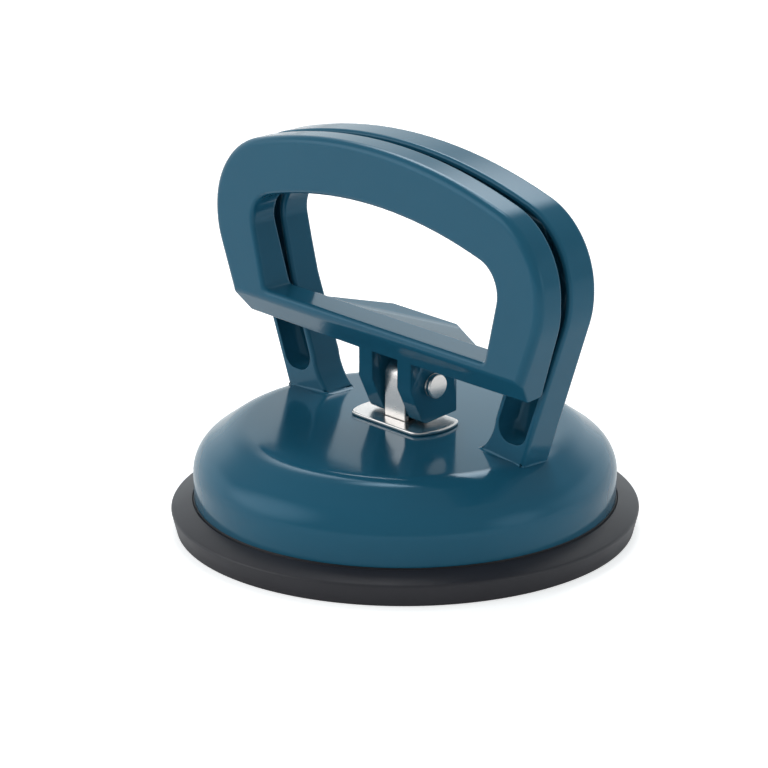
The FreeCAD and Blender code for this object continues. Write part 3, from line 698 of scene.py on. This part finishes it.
@dataclass
class Pad:
    """The moulded rubber pad: a dished disc with a ridge round its widest place.

    A narrow gap runs round under the dome's rim. In the middle a soft seat lies between the pad and
    the core plate.
    """

    rubber: MouldedRubber = field(default_factory=MouldedRubber)
    foot_inset: float = 1.4
    foot_round: float = 0.3
    ridge_height: float = 5.6
    ridge_round: float = 0.7
    lip_width: float = 7.0
    dish: float = 1.8
    dish_round: float = 20.0
    web: float = 3.4
    web_round: float = 4.0
    core_radius: float = 22.0
    rim_inset: float = 6.0
    dome_wall: float = 2.8
    land_share: float = 0.25  # of the lip's width, inwards from the dome's wall
    land_round: float = 0.5
    gap_width: float = 0.5
    gap_floor_share: float = 0.6  # of the gap's width
    gap_depth: float = 0.6
    gap_under: float = 0.3
    gap_mouth_round: float = 0.25
    gap_floor_round: float = 0.2
    seat: float = 1.3
    seat_gap: float = 0.4
    seat_round: float = 0.1
    seat_keep: float = 0.23  # of the seat's height, at the core plate's lowest
    recess_round: float = 0.2
    pad_turn_steps: int = 240
    seat_turn_steps: int = 96

    @property
    def web_top(self) -> float:
        """Height of the web's upper face."""
        return self.dish + self.web

    @property
    def seat_foot(self) -> float:
        """Height of the seat's lower face."""
        return self.dish + self.web - self.seat

    def profile(self) -> np.ndarray:
        """Section of the pad from its axis below, round the ridge and back to its axis above.

        Returns:
            Radius and height in millimetres of each point, n x 2.
        """
        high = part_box("rubber_pad")[1]
        radius, top = high.x / MM, high.z / MM
        foot = radius - self.foot_inset
        rim = radius - self.rim_inset
        slope = (top - self.ridge_height) / self.rim_inset
        gap_edge, gap_floor = top - slope * self.gap_width, top - self.gap_depth
        recess = self.core_radius + self.seat_gap
        return rounded_profile([
            (0, self.dish, 0),
            (self.core_radius, self.dish, self.dish_round),
            (foot - self.lip_width, 0, self.dish_round),
            (foot, 0, self.foot_round),
            (radius, self.ridge_height, self.ridge_round),
            (rim + self.gap_width, gap_edge, self.gap_mouth_round),
            (rim + self.gap_width * self.gap_floor_share, gap_floor, self.gap_floor_round),
            (rim - self.gap_under, gap_floor, self.gap_floor_round),
            (rim - self.gap_under, top, 0),
            (rim - self.dome_wall - self.lip_width * self.land_share, top, self.land_round),
            (self.core_radius + self.web, self.web_top, self.web_round),
            (recess, self.web_top, self.seat_round),
            (recess, self.seat_foot, self.recess_round),
            (0, self.seat_foot, 0),
        ])

    def seat_profile(self) -> np.ndarray:
        """Section of the soft seat between the pad and the core plate.

        Returns:
            Radius and height in millimetres of each point, n x 2.
        """
        return rounded_profile([
            (0, self.seat_foot, 0),
            (self.core_radius, self.seat_foot, self.seat_round),
            (self.core_radius, self.web_top, self.seat_round),
            (0, self.web_top, 0),
        ])

    def build(self) -> None:
        """Makes and dresses the pad and its seat."""
        rubber = self.rubber.material()
        pad = revolved("moulded_pad", self.profile(), self.pad_turn_steps)
        fit_out(pad, Body.HOUSING, Slot.RUBBER, rubber, "rubber_pad")
        seat = revolved("soft_seat", self.seat_profile(), self.seat_turn_steps)
        fit_out(seat, Body.HOUSING, Slot.RUBBER, rubber)
        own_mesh(seat)


@dataclass
class Linkage:
    """Pin, folded strap, wear plate, clip, core plate, rivets and return spring."""

    shank_step: float = 0.6  # from the head's radius in to the shank's
    shank_chamfer: float = 0.4
    shank_round: float = 0.1
    head_length: float = 1.9
    head_back_round: float = 0.15
    head_round: float = 0.35
    line_place: float = 0.4  # of the line turned in the head, from the head's back
    line_width: float = 0.3
    line_depth: float = 0.22
    line_round: float = 0.05
    pin_arc_steps: int = 5
    pin_turn_steps: int = 96
    strap_round: float = 0.25
    strap_segments: int = 3
    rivet_round: float = 0.15
    rivet_segments: int = 2
    plate_radius: float = 14.1
    plate_flat: float = 7.8
    plate_chamfer: float = 0.15
    plate_round: float = 0.35
    corner_pull: float = 1.3
    slot_half_width: float = 4.1
    slot_front: float = -3.8
    slot_back: float = 4.9
    slot_round: float = 0.12
    plate_arc_points: int = 6
    plate_turn_steps: int = 360
    plate_turn_start: float = 1e-4  # in radians, past the angle where sin t is 0
    plate_face_weight: int = 100  # the largest faces lead its shading
    spring_radius: float = 13.6
    spring_wire: float = 0.78  # radius of the wire
    spring_turns: float = 3.5
    spring_turn_steps: int = 40
    spring_wire_steps: int = 14

    def pin(self) -> bpy.types.Object:
        """Turned pin: its profile of (along, radius) is turned about the pin's own axis along X.

        Returns:
            The closed pin, with its head on the right.
        """
        low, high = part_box("pivot_pin")
        middle = (low + high) / 2 / MM
        left, right, head = low.x / MM, high.x / MM, (high.z - low.z) / 2 / MM
        shank, collar = head - self.shank_step, right - self.head_length
        line_start, line_floor = collar + self.line_place, head - self.line_depth
        line_end = line_start + self.line_width
        profile = rounded_profile([
            (left, 0, 0),
            (left, shank - self.shank_chamfer, self.shank_round),
            (left + self.shank_chamfer, shank, self.shank_round),
            (collar, shank, 0),
            (collar, head, self.head_back_round),
            (line_start, head, self.line_round),
            (line_start, line_floor, self.line_round),
            (line_end, line_floor, self.line_round),
            (line_end, head, self.line_round),
            (right, head, self.head_round),
            (right, 0, 0),
        ], self.pin_arc_steps)
        turn = np.linspace(0, 2 * np.pi, self.pin_turn_steps, endpoint=False)
        along, radius = profile[:, :1], profile[:, 1:]
        points = np.stack([along + 0 * turn, middle.y + radius * np.cos(turn),
                           middle.z + radius * np.sin(turn)], axis=-1)
        return surface("turned_pin", points * MM, wrap_columns=True)

    def plate(self) -> bpy.types.Object:
        """Wear plate: a disc with two straight sides and a slot.

        At angle t the outer edge lies at the smaller of the disc's radius a and b = flat / |sin t|,
        each drawn in by the inset of the row; -ln(exp(-ka) + exp(-kb)) / k rounds the corner between
        them. The slot's edge lies at the smaller of its half sizes over |cos t| and |sin t|. The rows
        run from the foot up round the outer edge, then over the slot's edge and down to the foot. The
        outer rounding draws in by r (1 - cos a) and lies r (1 - sin a) under the top, and the slot's
        has the two the other way about.

        Returns:
            The closed plate.
        """
        low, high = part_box("wear_plate")
        base, top = low.z / MM, high.z / MM
        turn = np.linspace(0, 2 * np.pi, self.plate_turn_steps, endpoint=False) + self.plate_turn_start
        cos_size, sin_size = np.abs(np.cos(turn)), np.abs(np.sin(turn))
        arc = np.linspace(0, np.pi / 2, self.plate_arc_points)
        inset = np.concatenate([[self.plate_chamfer, 0.0], self.plate_round * (1 - np.cos(arc))])[:, None]
        height = np.concatenate([[base, base + self.plate_chamfer],
                                 top - self.plate_round * (1 - np.sin(arc))])[:, None]
        flat = (self.plate_flat - inset) / sin_size
        outer = -np.logaddexp(-self.corner_pull * (self.plate_radius - inset),
                              -self.corner_pull * flat) / self.corner_pull
        middle, half = (self.slot_front + self.slot_back) / 2, (self.slot_back - self.slot_front) / 2
        outset = np.concatenate([self.slot_round * (1 - np.sin(arc)), [0.0]])[:, None]
        slot_height = np.concatenate([top - self.slot_round * (1 - np.cos(arc)), [base]])[:, None]
        inner = np.minimum((self.slot_half_width + outset) / cos_size, (half + outset) / sin_size)
        rim = np.stack([outer * np.cos(turn), outer * np.sin(turn), height + 0 * turn], axis=-1)
        slot = np.stack([inner * np.cos(turn), middle + inner * np.sin(turn), slot_height + 0 * turn],
                        axis=-1)
        points = np.concatenate([rim, slot])
        made = surface("ground_wear_plate", points * MM, wrap_rows=True, wrap_columns=True)
        made.modifiers.new("face_normals", "WEIGHTED_NORMAL").weight = self.plate_face_weight
        return made

    def spring(self) -> bpy.types.Object:
        """Spring of round wire along a helix.

        The wire's middle is at (R cos t, R sin t) and rises evenly. Its circle lies in the plane of
        the radius and the axis, and shrinks to a point at both ends.

        Returns:
            The closed spring.
        """
        low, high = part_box("return_spring")
        start, end = low.z / MM + self.spring_wire, high.z / MM - self.spring_wire
        share = np.linspace(0, 1, int(self.spring_turns * self.spring_turn_steps) + 1)[:, None]
        turn = share * self.spring_turns * 2 * np.pi
        around = np.linspace(0, 2 * np.pi, self.spring_wire_steps, endpoint=False)[None, :]
        thickness = np.where((share == 0) | (share == 1), 0.0, 1.0) * self.spring_wire
        reach = self.spring_radius + thickness * np.cos(around)
        points = np.stack([reach * np.cos(turn), reach * np.sin(turn),
                           start + (end - start) * share + thickness * np.sin(around)], axis=-1)
        return surface("coiled_spring", points * MM, wrap_columns=True)

    def build(self) -> None:
        """Makes and dresses the steel parts."""
        bright, turned, plated = POLISHED.material(), TURNED.material(), ZINC_PLATED.material()
        fit_out(self.pin(), Body.STRAP, Slot.BRIGHT, turned, "pivot_pin")
        strap_zones = (EdgeZone(*EVERYWHERE, self.strap_round),)
        strap = rounded_copy("pull_strap", "folded_strap", strap_zones, self.strap_segments)
        fit_out(strap, Body.STRAP, Slot.BRIGHT, bright, "pull_strap")
        fit_out(self.plate(), Body.HOUSING, Slot.BRIGHT, bright, "wear_plate")
        fit_out(self.spring(), Body.HOUSING, Slot.PLAIN, plated, "return_spring")
        rivet_zones = (EdgeZone(*EVERYWHERE, self.rivet_round),)
        for node in ("front_rivet", "rear_rivet"):
            rivet = rounded_copy(node, f"set_{node}", rivet_zones, self.rivet_segments)
            fit_out(rivet, Body.STRAP, Slot.PLAIN, plated, node)
        for node in ("core_plate", "pin_clip"):
            paint_node(node, plated)


# Stage -------------------------------------------------------------------------------------------
@dataclass(frozen=True)
class SoftBox:
    """Rectangular soft box that faces the middle of the tool; in metres and watts."""

    name: str
    place: Triple
    width: float
    height: float
    power: float
    target: Triple = (0.0, 0.0, 0.045)
    middle: Triple = (0.5, 0.5, 0.0)  # of its own UV square
    core: float = 0.1  # from its middle, brightest as far as this share of its size
    edge: float = 0.5  # and dark from this one on
    peak: float = 2.2

    def build(self) -> None:
        """Makes the lamp, which fades evenly from its peak in the core to nothing at its edge."""
        lamp = bpy.data.lights.new(self.name, "AREA")
        lamp.shape, lamp.size, lamp.size_y, lamp.energy = "RECTANGLE", self.width, self.height, self.power
        lamp.use_nodes = True
        tree = lamp.node_tree
        spot = add_node(tree, "ShaderNodeTexCoord").outputs["UV"]
        way_out = add_node(tree, "ShaderNodeVectorMath", {"0": spot, "1": self.middle}, operation="DISTANCE")
        fade = add_node(tree, "ShaderNodeMapRange", {
            "Value": way_out.outputs["Value"], "From Min": self.core, "From Max": self.edge,
            "To Min": self.peak, "To Max": 0.0,
        }, interpolation_type="SMOOTHSTEP")
        tree.links.new(fade.outputs["Result"], tree.nodes["Emission"].inputs["Strength"])
        stand = bpy.data.objects.new(self.name, lamp)
        stand.location = self.place
        stand.rotation_euler = (Vector(self.target) - Vector(self.place)).to_track_quat("-Z", "Y").to_euler()
        bpy.context.scene.collection.objects.link(stand)


@dataclass
class Studio:
    """White floor, soft lamps and the camera; angles are in degrees."""

    azimuth: float = 47.51
    elevation: float = 20.53
    distance: float = 1079.9
    aim: Triple = (-12.6, 4.4, 32.8)
    roll: float = -0.245
    lens: float = 199.8
    sensor: float = 36.0
    farthest: float = 100.0  # in metres
    lamps: tuple[SoftBox, ...] = (
        SoftBox("back_softbox", (-0.85, 0.8, 1.25), 1.6, 1.3, 13.0),
        SoftBox("front_left_softbox", (-0.8, -1.2, 0.7), 2.2, 2.0, 9.0),
        SoftBox("right_softbox", (1.35, 0.45, 0.3), 1.1, 1.3, 1.5),
        SoftBox("overhead_softbox", (-0.42, 0.38, 1.6), 0.9, 0.6, 4.0),
    )
    floor_rings: tuple[float, ...] = (0.0, 0.3, 1.0, 4.0)
    floor_rays: int = 48
    floor_drop: float = 0.0001  # keeps it clear of the pad's foot
    floor_grey: float = 0.86
    floor_seen: float = 0.62
    floor_mirrored: float = 0.15
    room_light: float = 0.5
    room_mirrored: float = 0.42
    room_seen: float = 1.1
    backdrop_heights: tuple[float, float] = (0.3, 0.55)  # sines of the elevation where it fades
    backdrop_turns: tuple[float, float] = (-0.5, 0.4)  # cosines of the way from the camera's, likewise
    daylight: tuple[float, float, float, float] = (0.89, 0.968, 1.0, 1.0)

    def floor(self) -> None:
        """White floor: a disc of rays and rings, far wider than the view, that takes the shadow."""
        rays = np.linspace(0, 2 * np.pi, self.floor_rays, endpoint=False)
        radius, turn = np.meshgrid(np.array(self.floor_rings), rays, indexing="ij")
        points = np.stack([radius * np.cos(turn), radius * np.sin(turn), 0 * turn - self.floor_drop], axis=-1)
        floor = surface("studio_floor", points, wrap_columns=True)
        made, tree = fresh_material("white_studio_floor")
        grey = self.floor_grey
        paper = add_node(tree, "ShaderNodeBsdfDiffuse", {"Color": (grey, grey, grey, 1)})
        strength = strength_by_ray(tree, 0.0, self.floor_mirrored, self.floor_seen)
        glow = add_node(tree, "ShaderNodeEmission", {"Color": (1, 1, 1, 1), "Strength": strength})
        both = add_node(tree, "ShaderNodeAddShader", {"0": paper.outputs[0], "1": glow.outputs[0]})
        add_node(tree, "ShaderNodeOutputMaterial", {"Surface": both.outputs[0]})
        floor.data.materials.append(made)

    def world(self) -> None:
        """Surround that is near white to the camera.

        In reflections it is a white backdrop that stands low behind the object, with a darker room
        above and in front; as light it is even and weaker.
        """
        made = bpy.data.worlds.new("backdrop_and_room")
        bpy.context.scene.world = made
        made.use_nodes = True
        tree = made.node_tree
        tree.nodes.clear()
        way = add_node(tree, "ShaderNodeTexCoord").outputs["Generated"]
        height = add_node(tree, "ShaderNodeSeparateXYZ", {"Vector": way})
        full, none = self.backdrop_heights
        low = add_node(tree, "ShaderNodeMapRange", {
            "Value": height.outputs["Z"], "From Min": full, "From Max": none, "To Min": 1.0, "To Max": 0.0,
        }, interpolation_type="SMOOTHSTEP")
        turn = math.radians(self.azimuth)
        front = add_node(tree, "ShaderNodeVectorMath", {"0": way, "1": (math.sin(turn), -math.cos(turn), 0)},
                         operation="DOT_PRODUCT")
        full, none = self.backdrop_turns
        behind = add_node(tree, "ShaderNodeMapRange", {
            "Value": front.outputs["Value"], "From Min": full, "From Max": none, "To Min": 1.0, "To Max": 0.0,
        }, interpolation_type="SMOOTHSTEP")
        white = add_node(tree, "ShaderNodeMath", {"0": low.outputs["Result"], "1": behind.outputs["Result"]},
                         operation="MULTIPLY")
        room = add_node(tree, "ShaderNodeMapRange", {"Value": white.outputs[0], "To Min": self.room_mirrored})
        strength = strength_by_ray(tree, self.room_light, room.outputs["Result"], self.room_seen)
        sky = add_node(tree, "ShaderNodeBackground", {"Color": self.daylight, "Strength": strength})
        add_node(tree, "ShaderNodeOutputWorld", {"Surface": sky.outputs[0]})

    def camera(self) -> None:
        """Long-lens camera on the object's front right, a little above it."""
        turn, tilt = math.radians(self.azimuth), math.radians(self.elevation)
        way = Vector((math.sin(turn) * math.cos(tilt), -math.cos(turn) * math.cos(tilt), math.sin(tilt)))
        place = way * self.distance * MM
        lens = bpy.data.cameras.new("studio_camera")
        lens.lens, lens.sensor_width, lens.clip_end = self.lens, self.sensor, self.farthest
        made = bpy.data.objects.new("studio_camera", lens)
        look = (Vector(self.aim) * MM - place).to_track_quat("-Z", "Y").to_matrix()
        rolled = look @ Matrix.Rotation(math.radians(self.roll), 3, "Z")
        made.matrix_world = Matrix.Translation(place) @ rolled.to_4x4()
        bpy.context.scene.collection.objects.link(made)
        bpy.context.scene.camera = made

    def build(self) -> None:
        """Sets the stage."""
        self.floor()
        self.world()
        for lamp in self.lamps:
            lamp.build()
        self.camera()
        bpy.context.scene.view_settings.view_transform = "Standard"


def main() -> None:
    """Builds the stage and each sub-assembly."""
    logging.basicConfig(level=logging.INFO, format="%(message)s")
    Studio().build()
    Castings().build()
    Pad().build()
    Linkage().build()


if __name__ == "__main__":
    main()
